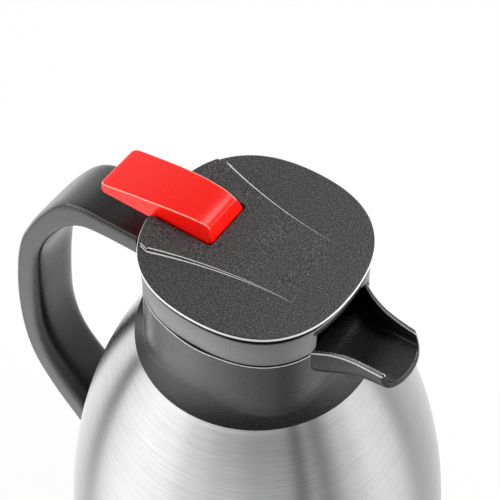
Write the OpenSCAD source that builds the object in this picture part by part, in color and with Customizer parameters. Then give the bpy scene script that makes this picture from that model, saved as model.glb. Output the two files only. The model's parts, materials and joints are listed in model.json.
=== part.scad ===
// Vacuum carafe with a turn-in pouring lid, a press lever and a side handle.
// Millimetres, +Z up. The origin is the centre of the base on the table plane.
// The spout points to +X and the handle to -X. Heights named "z" in the lid,
// neck and handle are measured from the lid plate's top face and are negative
// below it; at_rim() lifts them to their place.

/* [Body] */
// Height of the lid plate's top face above the table
rim_h = 226; // [215:1:240]
// Largest radius of the steel body
body_r = 81; // [79:0.5:83]
// Height of the widest ring of the steel body
belly_h = 25; // [20:1:32]
// Thickness of the steel sheet in both walls
sheet_t = 0.8; // [0.6:0.1:1]
// Width of the vacuum space between the two steel walls
vacuum_gap = 5; // [4:0.5:6]

/* [Neck and collar] */
// Width by which the collar's foot stands out past the lid plate
foot_flare = 5; // [4:0.1:6]
// Thickness of the collar's wall at the parting line
collar_wall = 3.2; // [2.8:0.1:3.4]
// Depth of the collar's foot below the lid plate
collar_foot_z = 49; // [48:0.5:50]
// Depth of the parting line between the lid and the collar
parting_z = 16.6; // [16:0.2:17]

/* [Lid] */
// Mean radius of the lid plate's soft square outline
plate_r = 40; // [38:0.2:42]
// Share of the radius by which the plate's flats sit inside its corners
plate_soft = 0.0275; // [0.01:0.0025:0.035]
// Width by which the plate stands out over the band
plate_overhang = 1; // [0.6:0.1:1.2]
// Thickness of the lid plate
plate_t = 4; // [3.5:0.1:4]
// Rise of the plate's centre field at its rear edge
field_rise = 1.6; // [0:0.1:2]
// Half the width of the opening in the band above the spout
front_half_w = 16; // [14:0.5:17]

/* [Lever and valve] */
// Width of the lever at its foot
lever_w = 21; // [19:0.5:21.5]
// How far the lever's tail stands past the plate's rear edge
lever_reach = 20.3; // [14:0.1:24]
// Thickness of the lever above the plate
lever_t = 7.6; // [6:0.2:8]
// Distance of the lever's pin behind the lid's centre
pin_x = 24; // [23.5:0.1:24.5]
// Radius of the lever's steel pin
pin_r = 1.5; // [1.4:0.05:1.6]
// Radius of the valve rod
rod_r = 2.5; // [2:0.1:2.6]
// Radius of the stopper's lower port
port_r = 9; // [8:0.5:9.5]

/* [Screw-in stopper] */
// Wall of the neck insert's threaded sleeve
sleeve_wall = 2.5; // [2.2:0.1:2.8]
// Room between the sleeve and the stopper's tube, which the thread fills
thread_gap = 1.9; // [1.8:0.05:2.1]
// Lead of the two-start thread, the rise in one full turn
thread_lead = 12; // [11:0.5:12.5]

/* [Handle] */
// Half the width of the handle's arm and grip
handle_half_w = 13; // [12:0.5:14]

/* [Hidden] */
$fn = 96;

// Sizes shared by several pieces
fit = 0.05;            // radial gap of a running fit
snug = 0.02;           // radial gap of a pressed or glued seat
gap = 0.3;             // gap between pieces that pass each other
soft_points = 72;      // points round a soft square outline
band_soft = 0.032;     // softness of the band and the collar's wall
band_r = plate_r - plate_overhang;
neck_r = band_r - collar_wall;
flask_neck_r = neck_r - 2.2 - snug;
insert_r = neck_r - 3.1;
sleeve_r = insert_r - sleeve_wall;
stopper_r = sleeve_r - thread_gap;
collar_foot_r = plate_r + foot_flare;
collar_top_z = parting_z + 0.2;
band_foot_z = parting_z - 0.2;
flare_z = 30;          // depth where the collar's flare leaves its wall
steel_rim_z = 37;      // top of the steel neck
shelf_z = 34;          // seat of the insert's flange in the collar
shelf_t = 2;
insert_foot_z = 58;    // bottom of the insert's sleeve
insert_thread_z = 43.5;
stopper_thread_z = 46.5;
screw_ring_r = stopper_r + 2.7;
flange_r = stopper_r + 5.7;
deck_z = 8;            // underside of the lid's deck
deck_t = 3.2;
web_z = 16;            // top of the stopper's cross wall
web_t = 2.5;
stopper_z = 60;        // bottom of the stopper
stopper_wall = 2.5;
floor_t = 3;           // stopper's bottom wall
seal_z = 54.5;         // middle of the stopper's seal ring
seal_h = 3.8;
pin_z = plate_t + pin_r + 0.1;
pin_len = 31;
lever_front = 12.2 - pin_x;
slot_w = lever_w + 1.2;
screw_r = 1.25;        // the four screws that hold the plate, deck and stopper
flange_t = 1.6;
rock_z = 12;           // centre of the rocker's nose
nose_r = 1.5;
clip_t = 1.5;
clip_z = rock_z - nose_r - 0.2;
disc_z = 55.2;         // underside of the valve disc
disc_t = 3;
valve_r = port_r + 2.2;
boss_x = plate_r + 3.2;        // rear face of the collar's handle boss
boss_foot_z = 24.3;
tenon_x = boss_x + 17.8;
tenon_half_w = 8;
tenon_z = collar_top_z + 1.2;  // top of the tenon that carries the handle's arm
tenon_t = 4;
upper_screw_x = boss_x + 9.8;
head_z = tenon_z + tenon_t + 1.8;  // where the upper screw's head rests
bracket_z = 172.5;             // depth of the handle's lower screw
bracket_half_w = 11;
screw_seat_x = body_r + 8.5;   // where the lower screw's head rests
cap_r = 4.2;

// Point at share t of a curve with four control points
function bez_at(p, t) =
    pow(1 - t, 3) * p[0] + 3 * pow(1 - t, 2) * t * p[1]
    + 3 * (1 - t) * t * t * p[2] + pow(t, 3) * p[3];

// The same curve as n + 1 points
function bez(p, n) = [for (i = [0:n]) bez_at(p, i / n)];

// An open outline moved to its left side by d
function inset(p, d) = [
    for (i = [0:len(p) - 1])
        let (t = p[min(i + 1, len(p) - 1)] - p[max(i - 1, 0)])
        p[i] + d * [-t[1], t[0]] / norm(t)
];

function reverse(p) = [for (i = [len(p) - 1:-1:0]) p[i]];

// Square with bowed sides: its radius swells by the share k at the corners
function soft_square(r, k) = [
    for (i = [0:soft_points - 1])
        let (a = 360 * i / soft_points)
        r * (1 - k * cos(4 * a)) * [cos(a), sin(a)]
];

// Smooth pass through a list of stations, with m steps from each to the next
function smooth(s, m) = [
    for (i = [0:len(s) - 2], j = [0:(i == len(s) - 2 ? m : m - 1)])
        let (
            a = s[max(i - 1, 0)], b = s[i], c = s[i + 1],
            d = s[min(i + 2, len(s) - 1)], t = j / m
        )
        b + (c - a) * t / 2 + (a - 2.5 * b + 2 * c - d / 2) * t * t
        + (1.5 * (b - c) + (d - a) / 2) * t * t * t
];

// Closed solid through rings of points, each ring anticlockwise seen from its far end
module loft(rings) {
    n = len(rings[0]);
    m = len(rings);
    sides = [
        for (k = [0:m - 2], i = [0:n - 1])
            let (j = (i + 1) % n, a = k * n, b = a + n)
            each [[a + i, b + i, b + j], [a + i, b + j, a + j]]
    ];
    near_end = [for (i = [0:n - 1]) i];
    far_end = [for (i = [n - 1:-1:0]) (m - 1) * n + i];
    polyhedron([for (r = rings) each r], concat([near_end, far_end], sides));
}

module at_rim() translate([0, 0, rim_h]) children();

// Disc or ring between two depths below the rim
module ring_z(r, top, bottom, hole = 0) {
    translate([0, 0, -bottom]) difference() {
        cylinder(h = bottom - top, r = r);
        if (hole > 0) translate([0, 0, -1]) cylinder(h = bottom - top + 2, r = hole);
    }
}

// Soft square plate between two depths
module soft_z(r, k, top, bottom) {
    translate([0, 0, -bottom]) linear_extrude(bottom - top) polygon(soft_square(r, k));
}

// Box given by its low and high corners
module box(low, high) translate(low) cube(high - low);

// Cylinder along Y, centred on the XZ plane
module rod_y(r, w) rotate([90, 0, 0]) cylinder(h = w, r = r, center = true);

// Steel outline from the base lip up to the collar, then in to the neck
foot_r = body_r - 7;
foot_z = 2.5;
shoulder = [collar_foot_r - 0.4, rim_h - collar_foot_z];
foot_curve = bez([
    [foot_r, foot_z], [body_r - 1.5, foot_z + 1],
    [body_r, belly_h - 10], [body_r, belly_h]
], 8);
side_curve = bez([
    [body_r, belly_h], [body_r, belly_h + 108],
    [shoulder[0] - 3.6, shoulder[1] - 1], shoulder
], 22);
// Flat ledge that carries the collar's foot, then the step in to the neck
ledge = shoulder + [-1.8, 0];
neck_curve = bez([
    ledge, ledge + [-2.2, 0.2],
    [neck_r, rim_h - steel_rim_z - 8], [neck_r, rim_h - steel_rim_z - 4]
], 6);
body_line = concat(
    foot_curve, [for (i = [1:len(side_curve) - 3]) side_curve[i]]
);
shell_line = concat(body_line, [shoulder + [-0.2, -0.6], shoulder + [-0.6, 0]], neck_curve);

module outer_shell() color("silver") {
    rotate_extrude() polygon(concat(
        [[foot_r - 4, foot_z]], shell_line, [[neck_r, rim_h - steel_rim_z]],
        [[neck_r - 2.2, rim_h - steel_rim_z]],
        [[neck_r - 2.2, rim_h - steel_rim_z - sheet_t]],
        [[neck_r - sheet_t, rim_h - steel_rim_z - sheet_t]],
        reverse(concat(inset(body_line, sheet_t), inset(neck_curve, sheet_t))),
        [[foot_r - 4, foot_z + sheet_t]]
    ));
}

// Inner wall: the side curve moved inwards by the vacuum space
flask_floor_h = 10;
flask_side = inset(side_curve, vacuum_gap + sheet_t);
flask_line = concat(
    [[0, flask_floor_h]],
    bez([
        [foot_r - 14, flask_floor_h], [foot_r - 3, flask_floor_h],
        flask_side[0] - [0, 12], flask_side[0]
    ], 6),
    [for (i = [1:len(side_curve) - 2]) flask_side[i]],
    [[flask_neck_r, rim_h - 46], [flask_neck_r, rim_h - steel_rim_z]]
);

module inner_flask() color("gainsboro") {
    rotate_extrude() polygon(concat(flask_line, reverse(inset(flask_line, sheet_t))));
}

module outer_base() color("silver") {
    translate([0, 0, foot_z + sheet_t]) cylinder(h = sheet_t, r = foot_r - 1);
}

module getter_disc() color("dimgray") {
    translate([30, 0, flask_floor_h - 1.2]) cylinder(h = 1.2, r = 9);
}

module vacuum_plug() color("lightgray") {
    translate([0, 0, foot_z + 0.1]) cylinder(h = sheet_t - 0.1, r = 5);
}

foot_pad_r = foot_r - 8;
foot_pad_t = 1.8;

module base_cover() color("#303030") {
    difference() {
        translate([0, 0, 0.8]) cylinder(h = foot_z + sheet_t - 0.8, r = foot_r - 4 - gap);
        translate([0, 0, foot_z - 0.1]) cylinder(h = 3, r = 6);
        cylinder(h = foot_pad_t, r = foot_pad_r + snug);
    }
}

module foot_pad() color("#202020") cylinder(h = foot_pad_t, r = foot_pad_r);

// Collar ring at depth z: a soft square wall with a slight draft, and from
// flare_z down a round flare that reaches the foot and swallows the wall
function collar_ring(z) =
    let (
        share = (z - collar_top_z) / (collar_foot_z - collar_top_z),
        spread = max(0, z - flare_z) / (collar_foot_z - flare_z),
        flare = band_r - 0.7 + (collar_foot_r - band_r + 0.7) * pow(spread, 3.5)
    )
    [for (p = soft_square(band_r + 1.2 * share, band_soft))
        let (q = p * max(1, flare / norm(p)))
        [q[0], q[1], -z]];
collar_depths = [
    collar_top_z, 24, flare_z, 35, 38, 40.5, 42.5, 44.5, 46, 47.5, collar_foot_z
];

// Spout sections: distance past the plate's radius, half width, depths of the
// rim and of the outer bottom below the parting line
spout_stations = [
    [-10, 24, 0.4, 14.4], [-5, 19.5, 0.5, 14.4], [-1, 17.2, 0.7, 14.4],
    [4, 14.8, 1.0, 13.6], [10, 13.0, 1.6, 12.0], [17, 12.1, 2.3, 10.8],
    [26, 11.6, 3.0, 9.9]
];
spout_wall = 1.8;

// U shaped section, drawn in by w at its sides and bottom and raised by up
function spout_ring(s, w, up) = [
    for (i = [0:12])
        let (
            a = 180 + 15 * i, c = cos(a),
            side = (c < 0 ? -1 : 1) * pow(abs(c), 0.4),
            drop = pow(abs(sin(a)), 0.4)
        )
        [
            plate_r + s[0], (s[1] - w) * side,
            -parting_z - s[2] + up - (s[3] - w - s[2] + up) * drop
        ]
];

// Plan outline of the spout, rounded at its tip, whose lip leans back
lip_r = plate_r - 18;
module spout_plan() {
    translate([plate_r + 0.5, 0, -parting_z - 9.4]) rotate([0, -19, 0])
        cylinder(h = 60, r = lip_r, center = true);
    box([stopper_r, -30, -collar_foot_z], [plate_r + 10, 30, 0]);
}

module collar() color("#3a3a3a") at_rim() {
    difference() {
        union() {
            loft([for (z = reverse(collar_depths)) collar_ring(z)]);
            intersection() {
                loft([for (s = spout_stations) spout_ring(s, 0, 0)]);
                spout_plan();
            }
            box(
                [-boss_x, -handle_half_w, -boss_foot_z],
                [-neck_r, handle_half_w, -collar_top_z]
            );
            box(
                [-tenon_x, -tenon_half_w, -tenon_z - tenon_t],
                [-boss_x + 1, tenon_half_w, -tenon_z]
            );
        }
        loft([for (s = spout_stations) spout_ring(s, spout_wall, 4)]);
        ring_z(neck_r + 0.4, collar_top_z - 5, shelf_z);
        ring_z(neck_r - 2.8, collar_top_z - 5, shelf_z + 6);
        rotate_extrude() polygon([
            [0, -shelf_z - shelf_t], [neck_r + 0.4, -shelf_z - shelf_t],
            [neck_r + 0.4, -steel_rim_z - 5], [collar_foot_r - 1.9, -collar_foot_z],
            [collar_foot_r - 1.9, -collar_foot_z - 5], [0, -collar_foot_z - 5]
        ]);
        translate([-upper_screw_x, 0, -tenon_z - 2 * tenon_t])
            cylinder(h = 3 * tenon_t, r = 1.3);
    }
}

// Two-start thread ridges on a cylinder of radius r; out is 1 for outside, -1 for inside
module thread(r, out, first_z, span) {
    steps = 24;
    ridge = thread_gap - 0.45;
    for (start = [0, 180]) rotate([0, 0, start]) loft([
        for (i = [0:steps])
            let (a = span * i / steps, z = first_z + thread_lead * a / 360)
            [for (q = [[-0.5, 1.2], [ridge, 0.6], [ridge, -0.6], [-0.5, -1.2]])
                let (rr = r + out * q[0])
                [rr * cos(a), rr * sin(a), z + out * q[1]]]
    ]);
}

module neck_insert() color("#2c2c2c") at_rim() {
    ring_z(neck_r, shelf_z - 2, shelf_z - 0.6, sleeve_r);
    ring_z(insert_r, shelf_z - 0.6, insert_foot_z, sleeve_r);
    thread(sleeve_r, -1, -insert_thread_z, 200);
}

module neck_gasket() color("whitesmoke") at_rim() {
    ring_z(neck_r, shelf_z + shelf_t, steel_rim_z, neck_r - 2.2);
}

module insert_gasket() color("whitesmoke") at_rim() {
    ring_z(neck_r - 0.2, shelf_z - 0.6, shelf_z, neck_r - 3);
}

// Flange of the lower bracket, grown by g for the handle's pocket
module bracket_block(g) {
    box(
        [-body_r - 2 - g, -bracket_half_w - g, -bracket_z - 9.5 - g],
        [-body_r + 11, bracket_half_w + g, -bracket_z + 6 + g]
    );
}

// Threaded block of the lower bracket, grown in the same way
module screw_block(g) {
    box(
        [-body_r - 6.5 - g, -6 - g, -bracket_z - 5.5 - g],
        [-body_r + 2, 6 + g, -bracket_z + 5.5 + g]
    );
}

// Handle stations: outer edge x and z, inner edge x and z, half width and
// squareness. The arm starts at the collar, the grip keeps its reach from the body.
arm_x = boss_x + 0.1;
handle_out = body_r + 35.5;
handle_stations = [
    [-arm_x, -15.0, -arm_x, -boss_foot_z, handle_half_w, 5],
    [-arm_x - 13.7, -14.8, -arm_x - 13.7, -24.6, handle_half_w, 5],
    [-body_r + 11, -15.2, -body_r + 13, -26.0, handle_half_w, 4.5],
    [-body_r + 1, -20.0, -body_r + 4, -30.5, handle_half_w, 4],
    [-body_r - 9, -31.5, -body_r - 3, -39.0, handle_half_w, 3.6],
    [-body_r - 18.5, -46.5, -body_r - 10, -51.5, handle_half_w, 3.2],
    [-body_r - 26.5, -63.0, -body_r - 16, -67.0, handle_half_w, 2.9],
    [-body_r - 33, -90.0, -body_r - 20, -91.5, handle_half_w, 2.7],
    [-handle_out, -118.0, -body_r - 22, -117.0, handle_half_w, 2.7],
    [-body_r - 33, -142.0, -body_r - 19, -135.0, handle_half_w, 2.8],
    [-body_r - 24, -161.0, -body_r - 11, -149.0, handle_half_w + 0.5, 3],
    [-body_r - 11, -176.5, -body_r - 3, -158.0, handle_half_w + 1.5, 3.2],
    [-body_r + 3, -190.0, -body_r + 5, -166.0, handle_half_w + 3, 3.5]
];

function handle_ring(s) =
    let (
        far_pt = [s[0], s[1]], near_pt = [s[2], s[3]],
        mid = (far_pt + near_pt) / 2, half = (far_pt - near_pt) / 2
    )
    [for (i = [0:19])
        let (
            a = 18 * i + 9, c = cos(a), v = sin(a),
            u = (c < 0 ? -1 : 1) * pow(abs(c), 2 / s[5]),
            w = (v < 0 ? -1 : 1) * pow(abs(v), 2 / s[5])
        )
        [mid[0] + half[0] * u, s[4] * w, mid[1] + half[1] * u]];

module handle_body() loft([for (s = smooth(handle_stations, 3)) handle_ring(s)]);

module handle_grip() color("#2e2e2e") at_rim() {
    difference() {
        handle_body();
        box(
            [-tenon_x - gap, -tenon_half_w - gap, -tenon_z - tenon_t - 0.2],
            [-boss_x + 1, tenon_half_w + gap, -tenon_z + 0.2]
        );
        translate([-upper_screw_x, 0, -head_z - 4]) {
            cylinder(h = head_z + 4 - tenon_z - tenon_t + 1, r = 1.7);
            cylinder(h = 4, r = 3.2);
        }
        translate([0, 0, -200]) cylinder(h = 60, r = body_r + gap);
        bracket_block(gap);
        screw_block(gap);
        translate([-handle_out - 5, 0, -bracket_z]) rotate([0, 90, 0]) {
            cylinder(h = handle_out + 5 - screw_seat_x, r = cap_r);
            cylinder(h = handle_out + 1 - body_r, r = 2.2);
        }
    }
}

module upper_handle_screw() color("silver") at_rim() {
    translate([-upper_screw_x, 0, -head_z - 1.6]) {
        cylinder(h = 1.6, r = 3);
        cylinder(h = head_z + 1.6 - tenon_z, r = 1.3 - snug);
    }
}

// The shell's lower outline as a filled body, grown by g
module body_fill(g) {
    rotate_extrude() polygon(concat(
        [[foot_r - 14, foot_z]], inset(body_line, -g), [[foot_r - 40, rim_h - 60]]
    ));
}

// Steel strap that hugs the shell, with a threaded block for the handle's lower screw
module handle_bracket() color("silver") {
    difference() {
        union() {
            intersection() {
                body_fill(1.2);
                at_rim() bracket_block(0);
            }
            at_rim() screw_block(0);
        }
        body_fill(snug);
        translate([-screw_seat_x - 5.5, 0, rim_h - bracket_z]) rotate([0, 90, 0])
            cylinder(h = 13, r = 2);
    }
}

module lower_handle_screw() color("silver") {
    translate([-screw_seat_x - 2, 0, rim_h - bracket_z]) rotate([0, 90, 0]) {
        cylinder(h = 9, r = 2 - snug);
        cylinder(h = 2, r = 3.8);
    }
}

module screw_cap() color("#262626") at_rim() {
    intersection() {
        translate([-handle_out, 0, -bracket_z]) rotate([0, 90, 0])
            cylinder(h = handle_out - screw_seat_x - 2, r = cap_r - snug);
        handle_body();
    }
}

// Swoosh line that bounds the plate's raised centre field
field_edge = bez([[-36, -27], [-20, -20.8], [2, -15.2], [24, -14.7]], 8);
field_outline = concat(field_edge, reverse([for (p = field_edge) [p[0], -p[1]]]));

module lid_plate() color("#3c3c3c") at_rim() {
    difference() {
        union() {
            soft_z(plate_r - 1, plate_soft, 0, 0.4);
            soft_z(plate_r - 0.3, plate_soft, 0.4, 1.1);
            soft_z(plate_r, plate_soft, 1.1, plate_t);
            intersection() {
                translate([0, 0, -1]) linear_extrude(4) polygon(field_outline);
                soft_z(plate_r - 0.6, plate_soft, -4, 2);
                translate([24, 0, 0]) rotate([0, atan(field_rise / 60), 0])
                    box([-plate_r - 50, -plate_r, -3], [0, plate_r, 0]);
            }
        }
        box([-plate_r - 5, -slot_w / 2, -9], [lever_front + 0.5, slot_w / 2, 9]);
        at_screws() translate([0, 0, -plate_t - 1])
            cylinder(h = plate_t - 0.2, r = screw_r);
    }
}

// The lid's four screws stand on one ring
module at_screws() {
    for (a = [45:90:315]) rotate([0, 0, a]) translate([screw_ring_r, 0, 0]) children();
}

module lid_housing() color("#8a8a8a") at_rim() {
    difference() {
        union() {
            soft_z(band_r, band_soft, deck_z - deck_t, band_foot_z);
            soft_z(band_r - 2.5, band_soft, plate_t, deck_z);
        }
        soft_z(band_r - 2.2, band_soft, deck_z, band_foot_z + 5);
        box([-plate_r - 5, -slot_w / 2, -6], [-stopper_r - 2.2, slot_w / 2, 9]);
        box([-stopper_r - 2.3, -slot_w / 2, -9], [lever_front + 3.5, slot_w / 2, 9]);
        box([-10, -7, -9], [6.5, 7, 9]);
        box(
            [stopper_r + 3, -front_half_w, -band_foot_z - 1],
            [plate_r + 5, front_half_w, -deck_z]
        );
        translate([-pin_x, 0, -pin_z]) {
            rod_y(pin_r + snug, pin_len + 0.2);
            box(
                [-pin_r - snug, -pin_len / 2 - 0.1, 0],
                [pin_r + snug, pin_len / 2 + 0.1, 9]
            );
        }
        at_screws() translate([0, 0, -band_foot_z]) cylinder(h = band_foot_z, r = 1.6);
    }
}

module stopper() color("#2a2a2a") at_rim() {
    difference() {
        union() {
            ring_z(flange_r, deck_z, deck_z + flange_t, stopper_r - stopper_wall);
            ring_z(stopper_r, deck_z, stopper_z, stopper_r - stopper_wall);
            ring_z(stopper_r - 1, web_z, web_z + web_t);
            ring_z(stopper_r - 1, stopper_z - floor_t, stopper_z);
            thread(stopper_r, 1, -stopper_thread_z, 150);
        }
        ring_z(port_r, stopper_z - floor_t - 2, stopper_z + 1);
        ring_z(5, web_z - 1, web_z + 5);
        box([-stopper_r - 12, -16, -15], [-12, 16, -deck_z + 1]);
        box([15, -12, -31.5], [stopper_r + 12, 12, -20]);
        difference() {
            ring_z(stopper_r + 2, seal_z - seal_h / 2, seal_z + seal_h / 2);
            ring_z(stopper_r - 1.6, seal_z - seal_h, seal_z + seal_h);
        }
        at_screws() ring_z(1.6, deck_z - 6, deck_z + 4);
    }
}

module stopper_seal() color("whitesmoke") at_rim() {
    difference() {
        union() {
            ring_z(sleeve_r - 0.8, seal_z - seal_h / 2 + fit, seal_z + seal_h / 2 - fit);
            ring_z(sleeve_r - fit, seal_z - 0.8, seal_z + 0.8);
        }
        ring_z(stopper_r - 1.6 + snug, seal_z - 5, seal_z + 5);
    }
}

module guide_bush() color("white") at_rim() {
    difference() {
        union() {
            ring_z(7, web_z - 1, web_z);
            ring_z(5 - snug, web_z, 23);
        }
        ring_z(rod_r + fit, 10, 30);
    }
}

module lever_pin() color("silver") at_rim() {
    translate([-pin_x, 0, -pin_z]) rod_y(pin_r, pin_len);
}

module lid_screws() color("silver") at_rim() {
    at_screws() {
        ring_z(screw_r - snug, 1.4, deck_z + 2);
        ring_z(2.6, deck_z + flange_t, deck_z + flange_t + 1.6);
    }
}

// Lever: side, front and plan outlines cross in one solid
lever_tail = -plate_r - lever_reach;
lever_foot = -1.2;
lever_side = concat(
    [[lever_front, lever_foot], [lever_front, 0.4]],
    bez([
        [lever_front - 2, lever_t - 1.5], [lever_front - 7.2, lever_t + 1.8],
        [2 - plate_r, lever_t - 1], [lever_tail + 2.3, lever_t - 5.1]
    ], 8),
    [
        [lever_tail, lever_t - 6.2], [lever_tail, lever_foot + 0.6],
        [lever_tail + 0.8, lever_foot]
    ]
);
lever_half = lever_w / 2;
lever_end = [
    [-lever_half, lever_foot - 1], [lever_half, lever_foot - 1], [lever_half, 0],
    [lever_half - 1, lever_t + 1], [-lever_half + 1, lever_t + 1], [-lever_half, 0]
];
ear_in = 6.2;
ear_out = 9.6;

// Rectangle with its four corners rounded by r
function round_rect(x0, x1, half, r) = [
    for (
        c = [[x1 - r, half - r, 0], [x0 + r, half - r, 90],
             [x0 + r, -half + r, 180], [x1 - r, -half + r, 270]],
        i = [0:4]
    )
        let (a = c[2] + 22.5 * i)
        [c[0] + r * cos(a), c[1] + r * sin(a)]
];

module lever() color("#ff2a1a") at_rim() {
    difference() {
        union() {
            intersection() {
                rotate([90, 0, 0]) linear_extrude(2 * lever_w, center = true)
                    polygon(lever_side);
                rotate([90, 0, 90]) linear_extrude(-3 * lever_tail, center = true)
                    polygon(lever_end);
                translate([0, 0, lever_foot - 1]) linear_extrude(lever_t + 4)
                    polygon(round_rect(lever_tail, lever_front, lever_half, 3));
            }
            for (s = [-1, 1]) translate([-pin_x, s * (ear_in + ear_out) / 2, 0]) {
                translate([0, 0, -pin_z]) rod_y(3.6, ear_out - ear_in);
                box(
                    [-3.6, -(ear_out - ear_in) / 2, -pin_z],
                    [3.6, (ear_out - ear_in) / 2, 0]
                );
            }
        }
        translate([-pin_x, 0, -pin_z]) rod_y(pin_r + fit, 30);
    }
}

module rocker_arm() color("#262626") at_rim() {
    difference() {
        union() {
            rotate([90, 0, 0]) linear_extrude(11, center = true) polygon([
                [-pin_x - 3.6, lever_foot], [-pin_x - 3.6, -pin_z], [-pin_x - 2, -9],
                [-4, -rock_z - 1.5], [0, -rock_z - 1.5], [0, -rock_z + 0.4],
                [-6, -rock_z + 0.8], [-pin_x + 5, lever_foot]
            ]);
            translate([0, 0, -rock_z]) rod_y(nose_r, 11);
        }
        translate([-pin_x, 0, -pin_z]) rod_y(pin_r + fit, 30);
        box([-4, -rod_r - gap, -20], [5, rod_r + gap, 0]);
    }
}

module valve_rod() color("silver") at_rim() {
    difference() {
        union() {
            ring_z(rod_r, clip_z - clip_t - 0.4, stopper_z - floor_t);
            ring_z(4, stopper_z - floor_t, stopper_z - floor_t + 1.2);
        }
        difference() {
            ring_z(rod_r + 1, clip_z - clip_t, clip_z);
            ring_z(rod_r - 0.5, clip_z - 5, clip_z + 5);
        }
    }
}

module valve_disc() color("#303030") at_rim() {
    ring_z(valve_r - 0.8, disc_z - disc_t, disc_z, rod_r + snug);
}

module valve_seal() color("whitesmoke") at_rim() {
    ring_z(valve_r, disc_z, stopper_z - floor_t, rod_r + snug);
}

module lift_clip() color("silver") at_rim() {
    ring_z(4.6, clip_z - clip_t, clip_z, rod_r - 0.5 + snug);
}

// Compression spring between the cross wall and the valve disc
spring_r = 6.2;
wire_r = 0.5;
spring_turns = 6;
spring_top = web_z + web_t + wire_r;
spring_foot = disc_z - disc_t - wire_r;

module valve_spring() color("lightsteelblue") at_rim() {
    steps = spring_turns * 12;
    rise = (spring_foot - spring_top) / steps;
    loft([
        for (i = [0:steps])
            let (a = 30 * i, z = -spring_foot + rise * i)
            [for (k = [0:5])
                let (b = -60 * k, r = spring_r + wire_r * cos(b))
                [r * cos(a), r * sin(a), z + wire_r * sin(b)]]
    ]);
}

outer_shell();
inner_flask();
outer_base();
getter_disc();
vacuum_plug();
base_cover();
foot_pad();
collar();
neck_insert();
neck_gasket();
insert_gasket();
handle_grip();
handle_bracket();
upper_handle_screw();
lower_handle_screw();
screw_cap();
lid_plate();
lid_housing();
stopper();
guide_bush();
lever_pin();
lid_screws();
stopper_seal();
lever();
rocker_arm();
valve_rod();
valve_disc();
valve_seal();
lift_clip();
valve_spring();
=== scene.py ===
# %% [markdown]
# # A vacuum carafe, dressed around its CAD frame
#
# The carafe's solids are packed already, and this script adds what the eye
# sees: smooth moulded skins, brushed steel, studio light and the camera.
# Every size is in millimetres until the last step, where one function turns
# a grid of points into a mesh in metres.

# %% Load the frame
import json
import bmesh
import bpy
import numpy as np
from mathutils import Matrix, Vector


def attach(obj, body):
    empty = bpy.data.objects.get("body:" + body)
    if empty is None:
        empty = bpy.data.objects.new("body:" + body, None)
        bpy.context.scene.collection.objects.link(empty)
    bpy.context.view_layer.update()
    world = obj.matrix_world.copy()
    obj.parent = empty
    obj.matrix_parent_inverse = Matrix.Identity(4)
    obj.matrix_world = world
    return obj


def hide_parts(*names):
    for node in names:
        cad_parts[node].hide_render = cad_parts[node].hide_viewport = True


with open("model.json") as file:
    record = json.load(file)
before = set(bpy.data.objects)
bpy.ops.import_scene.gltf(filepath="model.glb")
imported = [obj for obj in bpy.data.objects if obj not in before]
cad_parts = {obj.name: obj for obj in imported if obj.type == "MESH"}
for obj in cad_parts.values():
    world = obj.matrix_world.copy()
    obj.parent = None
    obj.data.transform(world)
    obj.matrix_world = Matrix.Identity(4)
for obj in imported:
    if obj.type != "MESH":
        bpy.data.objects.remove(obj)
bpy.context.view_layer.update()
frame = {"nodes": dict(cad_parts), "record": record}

# %% [markdown]
# ## From grids to meshes
#
# Each skin is worked out as a grid of points: rings that follow one another,
# each with the same number of points. Neighbouring rings are joined by quads.
# A closed solid needs its ring closed, and its first and last rings capped.
# The caps here are single flat faces, which is enough where they are hidden
# or small. Normals are recalculated once, on the whole closed shell.

# %% Heights and the mesh maker
RIM = 226.0              # height of the lid plate above the table
MM = 0.001
SHARP = np.radians(32)   # edges with a larger angle than this stay sharp
SAME_POINT = 1e-7        # metres: points closer than this are merged
CAP_CORNERS = 6          # faces with this many corners or more are flat caps


def ring_faces(rings, count, loop=False):
    """Quads between neighbouring rings of a grid, whose points are numbered ring by ring."""
    a = np.arange(rings if loop else rings - 1)[:, None] * count
    b = (a + count) % (rings * count)
    i = np.arange(count)[None, :]
    j = (i + 1) % count
    return np.stack([a + i, a + j, b + j, b + i], axis=-1).reshape(-1, 4)


def make_object(name, parts, sharp=SHARP):
    """One object from closed parts, each (points in mm, faces, marks).

    A face's mark is the number of its material. Shading is smooth, apart from
    the flat caps and edges sharper than the angle sharp.
    """
    points, faces, marks, start = [], [], [], 0
    for p, f, m in parts:
        points.append(np.asarray(p, float).reshape(-1, 3) * MM)
        faces += [[int(v) + start for v in face] for face in f]
        marks.append(np.asarray(m, int))
        start += len(points[-1])
    mesh = bpy.data.meshes.new(name)
    mesh.from_pydata(np.concatenate(points).tolist(), [], faces)
    mesh.polygons.foreach_set("material_index", np.concatenate(marks))
    shell = bmesh.new()
    shell.from_mesh(mesh)
    bmesh.ops.remove_doubles(shell, verts=shell.verts, dist=SAME_POINT)
    bmesh.ops.recalc_face_normals(shell, faces=shell.faces)
    open_edges = sum(len(edge.link_faces) != 2 for edge in shell.edges)
    shell.to_mesh(mesh)
    shell.free()
    ob = bpy.data.objects.new(name, mesh)
    bpy.context.scene.collection.objects.link(ob)
    mesh.shade_smooth()
    mesh.set_sharp_from_angle(angle=sharp)
    corners = np.empty(len(mesh.polygons), int)
    mesh.polygons.foreach_get("loop_total", corners)
    mesh.polygons.foreach_set("use_smooth", corners < CAP_CORNERS)
    print(name, len(mesh.vertices), "points", len(mesh.polygons), "faces",
          open_edges, "open edges")
    return ob


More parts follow.
